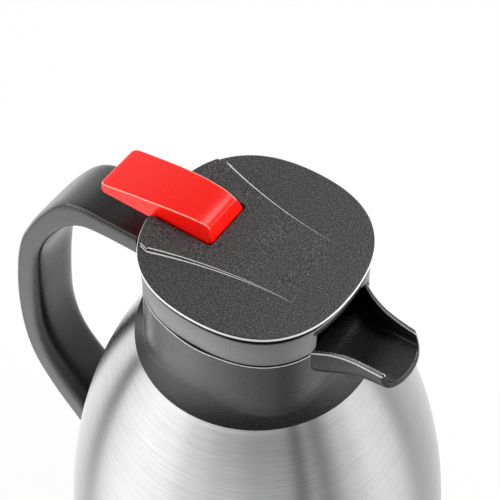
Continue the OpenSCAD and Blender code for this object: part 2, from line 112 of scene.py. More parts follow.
def lofted(grid, loop=False, painted_highlight=False):
    """Part from rings of points. The two ends are capped unless the rings loop round.

    The last argument, of one value per ring and point, marks the faces that start there for the
    second material, a painted highlight.
    """
    m, n = grid.shape[:2]
    quads = ring_faces(m, n, loop=loop)
    marks = np.broadcast_to(painted_highlight, (m, n)).reshape(-1)[:len(quads)]
    faces = quads.tolist()
    if not loop:
        faces += [list(range(n)), list(range((m - 1) * n, m * n))]
    return grid.reshape(-1, 3), faces, np.append(marks, np.zeros(len(faces) - len(quads), bool))


def bezier(p, count):
    """Points of the cubic curve with the four control points p."""
    p, t = np.asarray(p, float), np.linspace(0, 1, count + 1)[:, None]
    return ((1 - t) ** 3 * p[0] + 3 * (1 - t) ** 2 * t * p[1]
            + 3 * (1 - t) * t ** 2 * p[2] + t ** 3 * p[3])


def through(stations, steps):
    """Smooth rows through a list of stations.

    Each step is a cubic blend of the two stations beside it and their outer
    neighbours, and the rows pass through every station.
    """
    s = np.asarray(stations, float)
    k = np.arange(len(s) - 1).repeat(steps)
    t = np.tile(np.arange(steps) / steps, len(s) - 1)[:, None]
    a, b, c, d = (s[np.clip(k + i, 0, len(s) - 1)] for i in (-1, 0, 1, 2))
    rows = (b + (c - a) * t / 2 + (a - 2.5 * b + 2 * c - d / 2) * t ** 2
            + (1.5 * (b - c) + (d - a) / 2) * t ** 3)
    return np.concatenate([rows, s[-1:]])


def offset(outline, d):
    """A closed anticlockwise outline moved inwards by d, which may differ by point.

    Each point goes along the normal of the line between its two neighbours.
    """
    t = np.roll(outline, -1, 0) - np.roll(outline, 1, 0)
    n = np.stack([-t[:, 1], t[:, 0]], 1) / np.linalg.norm(t, axis=1)[:, None]
    return outline + n * np.reshape(d, (-1, 1))


def left_of(line):
    """Unit normals on the left of an open line: its gradient, turned a quarter."""
    t = np.gradient(line, axis=0)
    return np.stack([-t[:, 1], t[:, 0]], 1) / np.linalg.norm(t, axis=1)[:, None]


def soft_square(r, softness, angles):
    """A square with bowed sides: the radius at angle a is r (1 - softness cos 4a)."""
    rr = r * (1 - softness * np.cos(4 * angles))
    return np.stack([rr * np.cos(angles), rr * np.sin(angles)], 1)


def lifted(plan, height):
    """Points in plan, given one height or a height each."""
    return np.column_stack([plan, np.broadcast_to(height, len(plan))])


def round_axis(radius, angle, height):
    """Points round the Z axis: x is radius cos angle, y is radius sin angle."""
    return np.stack(np.broadcast_arrays(
        radius * np.cos(angle), radius * np.sin(angle), height), -1)


# %% [markdown]
# ## The steel body
#
# The real body is a pressed steel bottle. Its outline is a curve turned round
# the Z axis. The Screw modifier could turn it, but a profile carried round a
# circle as one grid keeps every ring in hand. The profile goes up the outside,
# over the neck and back down the inside, so that the sheet has its real
# thickness and the shell is closed with no pole.

# %% Steel outline
BODY_R, BELLY, SHEET = 81.0, 25.0, 0.8   # widest radius, its height, the sheet's thickness
COLLAR_R, COLLAR_Z = 45.0, 49.0          # the collar's foot: radius, depth below the plate
neck_r = 35.8
shoulder = np.array([COLLAR_R - 0.4, RIM - COLLAR_Z])
ledge = shoulder + [-1.8, 0]   # where the sheet turns in under the collar
foot_line = bezier([(74, 2.5), (79.5, 3.5), (BODY_R, 15), (BODY_R, BELLY)], 16)
side_line = bezier([(BODY_R, BELLY), (BODY_R, 133), shoulder + [-3.6, -1], shoulder], 66)
neck_line = bezier([ledge, ledge + [-2.2, 0.2], (neck_r, 181), (neck_r, 185)], 12)
body_line = np.concatenate([foot_line, side_line[1:-8]])
outside = np.concatenate([[(70, 2.5)], body_line, [shoulder + [-0.2, -0.6],
                          shoulder + [-0.6, 0]], neck_line, [(neck_r, 189)]])


def body_radius(h):
    """Radius of the steel body at height h."""
    return np.interp(h, body_line[:, 1], body_line[:, 0])


inside = body_line + SHEET * left_of(body_line)
profile = np.concatenate([outside, [(neck_r - 2.2, 189), (neck_r - 2.2, 188.2),
                          (neck_r - SHEET, 188.2), (neck_r - SHEET, 182),
                          ledge + [-0.5, -SHEET]], inside[::-1], [(70, 3.3)]])
turn = np.linspace(0, 2 * np.pi, 256, endpoint=False)
steel_grid = round_axis(profile[None, :, 0], turn[:, None], profile[None, :, 1])
steel_body = make_object("steel_body", [lofted(steel_grid, loop=True)])

# %% [markdown]
# ## The collar
#
# The collar starts under the lid as the lid's own soft square, with a slight
# draft. From 30 mm below the lid a round flare swells out of it and swallows
# the flat sides first, so that four lobes of the wall reach down at the
# corners. A Boolean of two shapes would cut a hard crease there. One formula
# does it softly: at each depth the radius is the larger of the wall's and the
# flare's, with a little added where the two meet.

# %% Collar ring
SPLIT = 16.6                      # depth of the parting line
COLLAR_TOP = SPLIT + 0.4
FLARE_Z, FLARE_POWER = 30.0, 3.5  # the flare's start, and how late it swells
BAND_R, BAND_SOFT = 39.0, 0.032   # the soft square of band and collar
CREASE = 0.25                     # mm over which wall and flare are blended


def collar_radius(angle, z):
    """Outer radius of the collar at an angle and depth.

    It is the larger of a drafted soft square and a flare that grows with a
    power of the depth below its start.
    """
    share = (z - COLLAR_TOP) / (COLLAR_Z - COLLAR_TOP)
    wall = (BAND_R + 1.2 * share) * (1 - BAND_SOFT * np.cos(4 * angle))
    spread = np.clip(z - FLARE_Z, 0, None) / (COLLAR_Z - FLARE_Z)
    flare = BAND_R - 0.7 + (COLLAR_R - BAND_R + 0.7) * spread ** FLARE_POWER
    return np.maximum(wall, flare) + CREASE * np.exp(-np.abs(wall - flare) / CREASE) * 0.5


print("collar radius at its foot:", round(float(collar_radius(0.0, COLLAR_Z)), 2), "mm")

# %% [markdown]
# The spout's trough cuts the collar's wall, so its sizes come first. Each
# station gives x, the half width, and the depths of the rims and of the
# floor's underside.

# %% Sizes of the trough, and the collar's cut under it
SPOUT_WALL = 1.8
spout_rows = through([
    [30, 24.0, 17.0, 31.0], [35, 19.5, 17.1, 31.0], [39, 17.2, 17.3, 31.0],
    [44, 14.8, 17.6, 30.2], [50, 13.0, 18.2, 28.6], [57, 12.1, 18.9, 27.4],
    [66, 11.6, 19.6, 26.5]], 12)
SIDE_POWER, DROP_POWER = 0.4, 0.4   # how square the trough's section is


def spout_size(x):
    """Half width, rim depth and outer bottom depth of the trough at x."""
    return [np.interp(x, spout_rows[:, 0], spout_rows[:, c]) for c in (1, 2, 3)]


# Every degree round the collar, and finer where the trough's sides cut it
fine = np.radians(np.arange(22, 33, 0.12))
angles = np.unique(np.concatenate([np.radians(np.arange(-180, 180, 1.0)), fine, -fine]))


def ring_top(radius):
    """Depth of the ring's top at a radius.

    It is the parting line, or the middle of the trough's wall where the
    trough crosses that radius.
    """
    across, along = radius * np.sin(angles), radius * np.cos(angles)
    half, rim, bottom = spout_size(along)
    share = np.clip(np.abs(across) / (half - SPOUT_WALL / 2), 0, 1)
    drop = np.sqrt(1 - share ** (2 / SIDE_POWER)) ** DROP_POWER
    middle = rim + (bottom - SPOUT_WALL / 2 - rim) * drop
    cut = np.where((share < 1) & (along > 0), middle, COLLAR_TOP)
    return np.maximum(cut, COLLAR_TOP)


# %% Collar grid
TOP_EDGE, TOP_SHARE = 0.35, 0.02   # radius of the top edge, and its share of the height
bore_r = neck_r + 0.4
top, top_inside = ring_top(collar_radius(angles, 20.0)), ring_top(bore_r)
rows = []
for share in np.concatenate([[0, 0.01, 0.02], np.linspace(0.04, 1, 60)]):
    z = top + (COLLAR_Z - top) * share
    edge = TOP_EDGE * (1 - np.sqrt(1 - (1 - min(share / TOP_SHARE, 1)) ** 2))
    rows.append(np.stack([collar_radius(angles, z) - edge, z], 1))
# The inside, as radius and depth: a rib reaches in over the steel's mouth
for r, z in [(COLLAR_R - 1.9, COLLAR_Z), (bore_r, 42), (bore_r, 36), (neck_r - 2.8, 36),
             (neck_r - 2.8, 34.02), (bore_r, 34), (bore_r, np.minimum(top_inside, 33.5))]:
    rows.append(np.stack(np.broadcast_arrays(r, z, angles)[:2], 1))
rz = np.stack(rows)
collar_grid = round_axis(rz[..., 0], angles, RIM - rz[..., 1])
print("collar grid", collar_grid.shape)

# %% [markdown]
# The spout is an open trough, moulded in one with the collar. It could be a
# swept curve, but a bevelled curve keeps one section all along, and this one
# is a square-cornered U that changes in width and depth. So each ring of the
# grid is worked out on its own: down the outside of the U and back up the
# inside. The tip is cut to a round plan.

# %% Spout trough
SPOUT_START, SPOUT_RUN = 30.0, 33.8   # x of the first ring, and how far its sizes are read on
TIP_X, TIP_LENGTH, TIP_HALF = 40.5, 23.3, 22.0   # the half ellipse that the tip has in plan
LIP_LEAN, LIP_DEPTH = 0.34, 26.0      # the lip leans back by this share of its rise
RIM_EDGE = 0.5                        # radius of a rim's two edges


def spout_loop(half, rim, bottom, shrink):
    """Section of the trough, as (y, depth) points in one closed loop.

    Each rim is rounded at both edges. The sides and the drop are a cosine and
    a sine raised to a power below one, which squares the U's corners. shrink
    pulls the faces of the wall together, for the rounded tip.
    """
    q = RIM_EDGE
    a = np.linspace(0, np.pi, 49)[1:-1]
    side = np.sign(np.cos(a)) * np.abs(np.cos(a)) ** SIDE_POWER
    drop = np.sin(a) ** DROP_POWER
    o, w = half - shrink, half - SPOUT_WALL + shrink
    top = rim + shrink
    b = np.linspace(0, np.pi / 2, 5)
    corner_out = np.stack([o - q + q * np.cos(b), top + q - q * np.sin(b)], 1)
    corner_in = np.stack([w + q - q * np.cos(b), top + q - q * np.sin(b)], 1)
    outer = np.stack([o * side, top + q + (bottom - shrink - top - q) * drop], 1)
    inner = np.stack([w * side, top + q + (bottom - SPOUT_WALL + shrink - top - q) * drop], 1)
    flip = [-1, 1]
    return np.concatenate([corner_out[::-1], outer, corner_out * flip, corner_in[::-1] * flip,
                           inner[::-1], corner_in])


def spout_ring(s, k):
    """One ring of the trough at share s of its length, shrunk by k.

    The tip is half an ellipse in plan, and its lip leans back as it rises.
    """
    yz = spout_loop(*spout_size(SPOUT_START + SPOUT_RUN * s), k)
    bow = np.sqrt(1 - (yz[:, 0] / TIP_HALF).clip(-1, 1) ** 2)
    tip = TIP_X + TIP_LENGTH * bow + LIP_LEAN * (yz[:, 1] - LIP_DEPTH)
    return np.stack([SPOUT_START + (tip - SPOUT_START) * s, yz[:, 0], RIM - yz[:, 1]], 1)


shares = np.concatenate([np.linspace(0, 0.97, 50), [0.98, 0.986, 0.991, 0.996, 0.999, 1.0]])
shrinks = np.concatenate([np.zeros(50), [0, 0.02, 0.06, 0.14, 0.26, 0.42]])
spout_grid = np.stack([spout_ring(s, k) for s, k in zip(shares, shrinks)])
m, n = spout_grid.shape[:2]
# Painted highlights lie on the rounded edges of the two rims
rim_highlights = [1, 2, 3, 52, 53, 54, 58, 59, n - 4, n - 3]
points, faces, marks = lofted(spout_grid, painted_highlight=np.isin(np.arange(n), rim_highlights))
# One flat cap would cross the open U, so each end is closed by quads over the wall
faces, marks = faces[:-2], marks[:-2]
for first in (0, (m - 1) * n):
    closing = [[first + i, first + i + 1, first + n - 2 - i, first + n - 1 - i]
               for i in range(n // 2 - 1)]
    faces, marks = faces + closing, np.append(marks, np.zeros(len(closing), bool))
spout_part = (points, faces, marks)
print("spout grid", spout_grid.shape)

# %% [markdown]
# The boss that carries the handle is a short rounded block behind the collar.
# A bevelled cube would do, but a superellipse is the same kind of curve as the
# handle's section, so the two meet without a step.


# %% Handle boss and the collar as one object
BOSS_HALF_W, BOSS_HALF_H, BOSS_Z = 13.0, 3.75, 20.55   # half sizes, and depth of the middle


def superellipse(power, count):
    """Shares of half width and half height round a closed superellipse.

    They are the cosine and sine to the power 2 / power, with their signs.
    """
    a = (np.arange(count) + 0.5) * 2 * np.pi / count
    c, s = np.cos(a), np.sin(a)
    return np.sign(c) * np.abs(c) ** (2 / power), np.sign(s) * np.abs(s) ** (2 / power)


u, w = superellipse(8, 64)
boss_grid = np.stack([
    np.stack([np.full(len(u), x), (BOSS_HALF_W - e) * w, RIM - BOSS_Z + (BOSS_HALF_H - e) * u], 1)
    for x, e in [(-35, 0), (-42.8, 0), (-43.1, 0.1), (-43.2, 0.4)]])
# A painted highlight runs along the collar's top edge, where the trough doesn't cut it
collar_highlight = (np.arange(len(rows)) == 1)[:, None] & (top <= COLLAR_TOP + 0.01)
collar_skin = make_object("collar_skin", [
    lofted(collar_grid, loop=True, painted_highlight=collar_highlight), spout_part, lofted(boss_grid)])

# %% [markdown]
# ## The handle
#
# The handle is one thick moulding that leaves the collar level, bends down
# and comes back to the body near its widest ring. A curve with a bevel object
# sweeps one section, and here the section changes from a flat bar to a full
# grip. So stations give the outer and inner edge, half the width and how
# square the section is, and a smooth pass through the stations and a
# superellipse for each section make the skin. The last sections are pushed
# out to the steel, so that the foot hugs the body.

# %% Handle skin
GRIP_POINTS, GRIP_EDGE = 72, 62   # points of a section, and the one on its upper -Y edge
handle_rows = through([
    [-43.3, -15.0, -43.3, -24.3, 13, 8], [-57, -15.1, -57, -24.6, 13, 8],
    [-70, -15.7, -68, -26.2, 13, 8], [-80, -20.4, -76.3, -31.4, 13, 7],
    [-90, -31.6, -83.2, -39.4, 13, 6], [-99.8, -46.5, -91, -51.5, 12.9, 5.2],
    [-107.7, -63.0, -97, -67.0, 12.8, 4.5], [-114.1, -90.0, -101, -91.5, 12.7, 4],
    [-116.4, -118.0, -103, -117.0, 12.7, 3.8], [-114, -142.0, -100, -135.0, 12.8, 3.8],
    [-105, -161.0, -92, -149.0, 13.3, 3.8], [-92, -176.5, -84, -158.0, 14.3, 3.8],
    [-78, -190.0, -76, -166.0, 16, 3.5]], 12)


def handle_section(row):
    """Ring of the handle from one row: outer x z, inner x z, half width, squareness."""
    far, near = row[0:2], row[2:4]
    u, w = superellipse(row[5], GRIP_POINTS)
    mid, half = (far + near) / 2, (far - near) / 2
    return np.stack([mid[0] + half[0] * u, row[4] * w, RIM + mid[1] + half[1] * u], 1)


handle_grid = np.stack([handle_section(r) for r in handle_rows])
reach = body_radius(handle_grid[..., 2]) + 0.1
clear = -np.sqrt(np.clip(reach ** 2 - handle_grid[..., 1] ** 2, 0, None))
low_half = handle_grid[..., 2] < RIM - 140
pushed = np.minimum(handle_grid[..., 0], clear)
handle_grid[..., 0] = np.where(low_half, pushed, handle_grid[..., 0])
# The upper part's edge on the -Y side carries a painted highlight
corner = np.abs(np.arange(GRIP_POINTS) - GRIP_EDGE) < 2
painted_highlight = corner & (handle_rows[:, 0] > -76)[:, None]
handle_skin = make_object("handle_skin", [lofted(handle_grid, painted_highlight=painted_highlight)])

# %% [markdown]
# A small round plug hides the lower handle screw. A plain cylinder would stand
# off the curved back, so its rings follow the back's own line: each is given
# by its radius and by how proud of the handle it stands.

# %% Cap over the lower screw
CAP_Z = -172.5   # below the plate
spots = np.linspace(0, 2 * np.pi, 48, endpoint=False)
cap_rings = []
for r, proud in [(4.1, -1.2), (4.1, 0.1), (4.0, 0.2), (3.8, 0.26), (2.4, 0.3), (0.8, 0.3)]:
    y, z = r * np.cos(spots), CAP_Z + r * np.sin(spots)
    back = np.interp(-z, -handle_rows[:, 1], handle_rows[:, 0])
    cap_rings.append(np.stack([back - proud, y, RIM + z], 1))
cap_skin = make_object("screw_cap_skin", [lofted(np.stack(cap_rings))])

# %% [markdown]
# ## The lid
#
# The plate is a moulded slab with a rounded edge and a notch for the lever. It
# could be extruded and bevelled, but a bevel of the whole outline would round
# the notch as much as the rim. So the outline is walked once, anticlockwise,
# with small arcs at the notch's corners, and each layer of the slab is that
# outline with its own inset.

# %% Plate outline with the lever's notch
PLATE_R, PLATE_SOFT = 40.0, 0.0275
SLOT, SLOT_END = 10.9, -11.45   # half width of the notch, and x of its end
SLOT_CORNER = 1.6               # radius of the two corners at its end


def arc(cx, cy, r, start, stop, count=8):
    """Points on part of a circle, between two angles in degrees."""
    a = np.radians(np.linspace(start, stop, count + 1))
    return np.stack([cx + r * np.cos(a), cy + r * np.sin(a)], 1)


def notched(radius, softness, slot, slot_end, corner):
    """Closed outline of a soft square with a notch from the rear (-X) to slot_end.

    It runs anticlockwise from the front. corner is the radius at the mouth.
    """
    inner = SLOT_CORNER
    a = np.radians(np.arange(0, 360) + 0.5)
    ring = soft_square(radius, softness, a)
    solid = (ring[:, 0] > 0) | (np.abs(ring[:, 1]) > slot + corner)
    rear = ring[(ring[:, 0] < 0) & (ring[:, 1] > 0)][::-1]
    x_rear = np.interp(slot + corner, rear[:, 1], rear[:, 0])
    sides = np.linspace(x_rear + corner, slot_end - inner, 26)
    end = np.linspace(slot - inner, inner - slot, 17)
    walk = np.concatenate([
        ring[solid & (a < np.pi)],
        arc(x_rear + corner, slot + corner, corner, 180, 270),
        np.stack([sides, np.full(len(sides), slot)], 1),
        arc(slot_end - inner, slot - inner, inner, 90, 0),
        np.stack([np.full(len(end), slot_end), end], 1),
        arc(slot_end - inner, inner - slot, inner, 0, -90),
        np.stack([sides[::-1], np.full(len(sides), -slot)], 1),
        arc(x_rear + corner, -slot - corner, corner, 90, 180),
        ring[solid & (a > np.pi)]])
    keep = np.linalg.norm(walk - np.roll(walk, 1, 0), axis=1) > 0.05
    return walk[keep]


def slab(outline, layers, painted_highlight, share):
    """Part from one outline: each layer is (inset, depth) and becomes a ring.

    The ends are capped flat, and share scales the insets, point by point.
    """
    grid = [lifted(offset(outline, d * share), RIM - z) for d, z in layers]
    return lofted(np.stack(grid), painted_highlight=painted_highlight)


def rounding(r, z, count):
    """Layers of a quarter round of radius r at a top edge at depth z, from the side up."""
    a = np.linspace(0, np.pi / 2, count + 1)
    return [(r * (1 - np.cos(b)), z + r * (1 - np.sin(b))) for b in a]


plate_outline = notched(PLATE_R, PLATE_SOFT, SLOT, SLOT_END, corner=1.2)
plate_layers = [(0.45, 1.6), (0.4, 1.45), (0.3, 1.3), (0.12, 1.2), (0.0, 1.05)]
plate_layers += rounding(0.8, 0.0, 8)[1:]
# The rim is rounded in full and its edge carries a painted highlight, the notch is nearly square
on_rim = np.linalg.norm(plate_outline, axis=1) > 36
painted_highlight = np.isin(np.arange(len(plate_layers)), (3, 4, 5, 6, 7))[:, None] & on_rim
plate_part = slab(plate_outline, plate_layers, painted_highlight, share=np.where(on_rim, 1.0, 0.3))

# %% [markdown]
# The raised field in the middle of the lid is a thin wedge: it is nearly flush
# with the plate in front and stands 1.6 mm proud at the rear. Its two long
# edges are the swoosh lines of the real lid. Displacing the plate's own mesh
# would need a very fine grid for such narrow lines. A second closed part that
# sinks into the plate gives them crisp, with a painted highlight on their edges.

# %% The raised field
FIELD_LEAST, FIELD_RISE = 0.06, 1.6   # height in front and at the rear
FIELD_FRONT, FIELD_LENGTH = 24.0, 60
swoosh = bezier([(-36, 27), (-20, 20.8), (2, 15.2), (FIELD_FRONT, 14.7)], 60)
inner_rim = notched(PLATE_R - 0.9, PLATE_SOFT, SLOT + 0.08, SLOT_END + 0.08, corner=1.8)
side = swoosh[::-1]
side = side[np.linalg.norm(side, axis=1) < 38.9]
meet, side = side[-1], side[np.linalg.norm(side, axis=1) < 37.7]
rear = inner_rim[(inner_rim[:, 0] < 0) & (np.abs(inner_rim[:, 1]) < meet[1] - 1.2)]
# A small hook turns the swoosh along the rim, because a sharp corner would
# make the inset rings cross themselves
hook = bezier([side[-1], 0.4 * side[-1] + 0.6 * meet, 0.4 * rear[0] + 0.6 * meet, rear[0]], 9)
hook = hook[1:-1]
edge = np.concatenate([side, hook])
front = np.stack([np.full(9, FIELD_FRONT), np.linspace(-14, 14, 11)[1:-1]], 1)
field_outline = np.concatenate([edge, rear, (edge * [1, -1])[::-1], front])
lengths = [len(edge), len(rear), len(edge), len(front)]
on_swoosh = np.repeat([True, False, True, False], lengths)
# How far the wall leans at each point: in full under the swoosh, and hardly elsewhere
slope = np.concatenate([np.ones(len(side)), np.full(len(hook), 0.3)])
steep = np.concatenate([slope, np.full(len(rear), 0.12), slope[::-1], np.full(len(front), 0.12)])


def field_height(x):
    """Height of the tilted field above the plate, which grows evenly to the rear."""
    return FIELD_LEAST + (FIELD_RISE - FIELD_LEAST) * (FIELD_FRONT - x) / FIELD_LENGTH


def field_ring(inset, share, drop):
    """Ring of the field: inset in mm, share of the local height, less a drop in mm.

    The inset and the drop shrink with the height, so the wedge runs out thin.
    """
    h = field_height(field_outline[:, 0])
    flat = offset(field_outline, inset * steep * h / FIELD_RISE)
    return lifted(flat, RIM + field_height(flat[:, 0]) * share - drop * h / FIELD_RISE)


field_rings = [(-0.6, 0.0, 0.5), (-0.4, 0.0, 0.02), (-0.2, 0.1, 0.0), (0.1, 0.25, 0.0),
               (0.15, 0.3, 0.0), (0.7, 0.82, 0.0), (0.84, 0.94, 0.0), (1.05, 0.99, 0.0),
               (1.4, 1.0, 0.0)]
# The swoosh's two step edges carry a painted highlight
painted_highlight = np.isin(np.arange(len(field_rings)), (1, 2, 5, 6))[:, None] & on_swoosh
field_part = lofted(np.stack([field_ring(*r) for r in field_rings]), painted_highlight=painted_highlight)
lid_top = make_object("lid_top", [plate_part, field_part])

# %% [markdown]
# Under the plate lies the deck's wall, set back and dressed in black plastic
# as painted shade in the joint. A solid deck would stand in the way of the
# rocker and the rod, so it is a wall that leaves the middle free, carried
# along the soft square as a strip.


# %% Deck wall
def strip(line, section):
    """Part from an open anticlockwise line and a section of (inset, depth) points.

    Each section point is carried along the line, and the ends are capped.
    """
    inward = left_of(line)
    return lofted(np.stack([lifted(line + inward * d, RIM - z) for d, z in section], 1))


deck_line = soft_square(BAND_R, BAND_SOFT, np.radians(np.linspace(-162, 162, 325)))
deck_part = strip(deck_line, [(3.4, 8.0), (0.35, 8.0), (0.35, 4.35), (0.5, 4.2), (1.7, 4.1),
                              (1.7, 1.5), (3.4, 1.5)])
print("deck wall along", len(deck_line), "points")

# %% [markdown]
# Round the deck runs the satin band, a strip with rounded edges. A modifier
# such as Solidify could thicken a ribbon, but the band's top dips under the
# lever, so its section is carried along the path. Above the spout the
# band stops, and its two ends curl inwards. That leaves the opening for the
# drink, which a thin hoop spans on top.

# %% Band
BAND_WALL, BAND_END = 2.2, np.radians(30)
CURL_R, CURL_TURN, CURL_TAIL = 5.0, 75, 1.5   # mm, degrees, mm
sweep = np.linspace(BAND_END, 2 * np.pi - BAND_END, 361)
main = soft_square(BAND_R - BAND_WALL / 2, BAND_SOFT, sweep)


def curled(line):
    """Extra points after the end of a line that turns left: an arc, then a straight tail."""
    d = line[-1] - line[-2]
    heading = np.arctan2(d[1], d[0])
    centre = line[-1] + CURL_R * np.array([-np.sin(heading), np.cos(heading)])
    a = heading - np.pi / 2 + np.radians(np.linspace(0, CURL_TURN, 13))
    bend = centre + CURL_R * np.stack([np.cos(a), np.sin(a)], 1)
    d = bend[-1] - bend[-2]
    tail = bend[-1] + d / np.linalg.norm(d) * np.array([[CURL_TAIL / 2], [CURL_TAIL]])
    return np.concatenate([bend[1:], tail])


path = np.concatenate([(curled(main) * [1, -1])[::-1], main, curled(main)])
out = -left_of(path)
# Depths of the band's two edges: the upper one is 1.2 mm lower under the lever
dip = 1.2 * np.clip((SLOT + 0.6 - np.abs(path[:, 1])) / 0.6, 0, 1) * (path[:, 0] < 0)
top_edge, foot_edge = 4.4 + dip, SPLIT - 0.2
e = 0.35   # mm, by which the corners of the section are cut back
# Each point of the section: side (1 is the outer face, -1 the inner), edge, step down
band_section = [
    (1, top_edge, e), (1, foot_edge, -e), (1 - 0.3 * e, foot_edge, -0.3 * e),
    (1 - e, foot_edge, 0), (-1 + e, foot_edge, 0), (-1, foot_edge, -e), (-1, top_edge, e),
    (-1 + e, top_edge, 0), (1 - e, top_edge, 0), (1 - 0.3 * e, top_edge, 0.3 * e)]
band_part = lofted(np.stack([
    lifted(path + out * (BAND_WALL / 2) * side, RIM - (edge + step))
    for side, edge, step in band_section], 1))
hoop = soft_square(BAND_R - 0.1, BAND_SOFT, np.linspace(-2.7, 2.7, 361))
hoop_part = lofted(np.stack([
    lifted(hoop * k, RIM - z)
    for k, z in [(0.94, 4.5), (0.993, 4.5), (1, 4.7), (1, 5.3), (0.993, 5.5), (0.94, 5.5)]], 1))
band_skin = make_object("lid_band", [band_part, hoop_part])
deck_skin = make_object("lid_deck", [deck_part])

# %% [markdown]
# ## The lever
#
# The thumb lever is a moulded bar with a level foot, a gently falling back and
# a steep chamfer in front. A cube could be tapered and bevelled, but its top
# narrows along a curve of its own. So its sections are rounded trapezoids
# along X. Near the two ends the section narrows and lowers on a small arc,
# which rounds the corners in plan and in side view at once.

# %% Lever skin
LEVER_W, LEVER_FRONT, LEVER_TAIL, LEVER_FOOT = 21.4, -11.7, -60.3, -1.2
CORNER_R, TAIL_R, EDGE_R = 3.0, 1.2, 0.7   # the base in plan, the tail, the long edges
LEAN_HEIGHT, CROWN = 7.8, 0.1   # height at which top_half holds, and the top's bulge
# The back in side view, x and height, from the tail to the chamfer's foot
back_line = np.concatenate([
    [(-11.8, 0.4), (-13.6, 5.7), (-13.85, 6.05)],
    bezier([(-14.3, 6.35), (-19, 9.2), (-38, 6.6), (-58, 2.5)], 36), [(-60.3, 1.9)]])[::-1]
# Half the width of the top, by x
top_half = np.array([(-60.3, 9.9), (-38, 9.9), (-26, 9.5), (-18.5, 8.9), (-13.7, 8.0),
                     (-11.8, 9.6)])
ends = 1 - np.cos(np.linspace(0, np.pi / 2, 11))
xs = np.unique(np.concatenate([
    LEVER_TAIL + CORNER_R * ends, np.linspace(LEVER_TAIL + CORNER_R, -24, 40),
    np.linspace(-24, -14.6, 26),
    -11.8 - np.array([0, 0.05, 0.15, 0.4, 0.8, 1.2, 1.6, 1.75, 1.85, 1.95, 2.05, 2.2, 2.4, 2.6])]))


def lever_section(x):
    """Rounded trapezoid at x.

    The base loses a corner arc at both ends, and the tail's top and bottom
    lose a smaller one. An arc of radius R takes away R less the root of
    R squared less the squared distance past its start.
    """
    near = np.clip(CORNER_R - np.minimum(x - LEVER_TAIL, LEVER_FRONT - x), 0, CORNER_R)
    arc_loss = CORNER_R - np.sqrt(CORNER_R ** 2 - near ** 2)
    half = LEVER_W / 2 - arc_loss * (1.0 if x < -30 else 0.6)
    tail = np.clip(TAIL_R - (x - LEVER_TAIL), 0, TAIL_R)
    cut = TAIL_R - np.sqrt(TAIL_R ** 2 - tail ** 2)
    top = np.interp(x, back_line[:, 0], back_line[:, 1]) - cut
    foot = LEVER_FOOT + cut * 0.6
    lean = LEVER_W / 2 - np.interp(x, top_half[:, 0], top_half[:, 1])
    inset = lean * (top - foot) / LEAN_HEIGHT
    high = max(half - max(inset, 0.1), 2.0)
    r = min(EDGE_R, 0.4 * (top - foot))
    a = np.linspace(0, np.pi / 2, 11)
    right_top = np.stack([high - r + r * np.cos(a), top - r + r * np.sin(a)], 1)
    across = np.linspace(high - r, r - high, 17)[1:-1]
    crown = CROWN * (1 - (across / (high - r)) ** 2) * min(1, (top - foot) / 7)
    left_top = (right_top * [-1, 1])[::-1]
    base = np.array([[-half, foot + 0.3], [-half + 0.3, foot],
                     [half - 0.3, foot], [half, foot + 0.3]])
    yz = np.concatenate([right_top, np.stack([across, top + crown], 1), left_top, base])
    return np.column_stack([np.full(len(yz), x), yz])


lever_grid = np.stack([lever_section(x) for x in xs])
lever_grid[..., 2] += RIM
# Two ears hang below the bar and take the pin
ears = []
for side in (-1, 1):
    ear = np.concatenate([arc(-24, -5.6, 3.6, 180, 360, 24), [(-20.4, 0.5), (-27.6, 0.5)]])
    ears.append(lofted(np.stack([
        np.stack([ear[:, 0], np.full(len(ear), side * y), RIM + ear[:, 1]], 1)
        for y in (6.2, 9.6)])))
# The two long edges of the back carry a painted highlight, as far as the chamfer
long_edges = np.isin(np.arange(lever_grid.shape[1]), (4, 5, 6, 7, 8, 28, 29, 30, 31, 32))
lever_highlight = long_edges & (xs[:, None] < -13.6)
lever_skin = make_object("lever_skin", [lofted(lever_grid, painted_highlight=lever_highlight), *ears],
                         sharp=np.radians(40))

# %% [markdown]
# ## Who rides on what
#
# On the real carafe the lid turns, the lever rocks on it, and the other pieces
# that show stand still.

# %% Ride and replace
for piece, body, node, slot in [
        (steel_body, "carafe", "outer_shell", "steel_brushed"),
        (collar_skin, "carafe", "collar", "collar_satin"),
        (handle_skin, "carafe", "handle_grip", "handle_satin"),
        (cap_skin, "carafe", "screw_cap", "handle_satin"),
        (lid_top, "lid", "lid_plate", "plate_grain"),
        (band_skin, "lid", "lid_housing", "band_satin"),
        (deck_skin, "lid", "lid_housing", "band_satin"),
        (lever_skin, "lever", "lever", "lever_red")]:
    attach(piece, body)
    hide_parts(node)
print("skins ride on carafe, lid and lever")

# %% [markdown]
# ## Colours and nodes
#
# Colours are written as sRGB hex values, the way a designer notes them, and
# one function turns them to the linear numbers that the shader wants. One
# small function adds a node, sets its values and makes its links.


# %% Helpers for materials
def linear(code):
    """Linear colour from an sRGB hex value.

    Each channel c becomes ((c + 0.055) / 1.055) to the power 2.4, or c / 12.92
    where it is dark.
    """
    c = np.array([int(code[i:i + 2], 16) for i in (1, 3, 5)]) / 255
    c = np.where(c <= 0.04045, c / 12.92, ((c + 0.055) / 1.055) ** 2.4)
    return (*[float(v) for v in c], 1.0)


def add(tree, kind, inputs=None, **settings):
    """Adds one node.

    settings are its own properties. inputs are values or output sockets, by
    the input's name or number.
    """
    node = tree.nodes.new(kind)
    for name, value in settings.items():
        setattr(node, name, value)
    for name, value in (inputs or {}).items():
        if isinstance(value, bpy.types.NodeSocket):
            tree.links.new(value, node.inputs[name])
        else:
            node.inputs[name].default_value = value
    return node


def new_material(name):
    """An empty node material, its node tree and its Object coordinates."""
    made = bpy.data.materials.new(name)
    made.use_nodes = True
    tree = made.node_tree
    tree.nodes.clear()
    coords = add(tree, "ShaderNodeTexCoord").outputs["Object"]
    return made, tree, coords


def per_metre(size_mm):
    """Noise scale that gives features of about this size."""
    return 1000 / size_mm
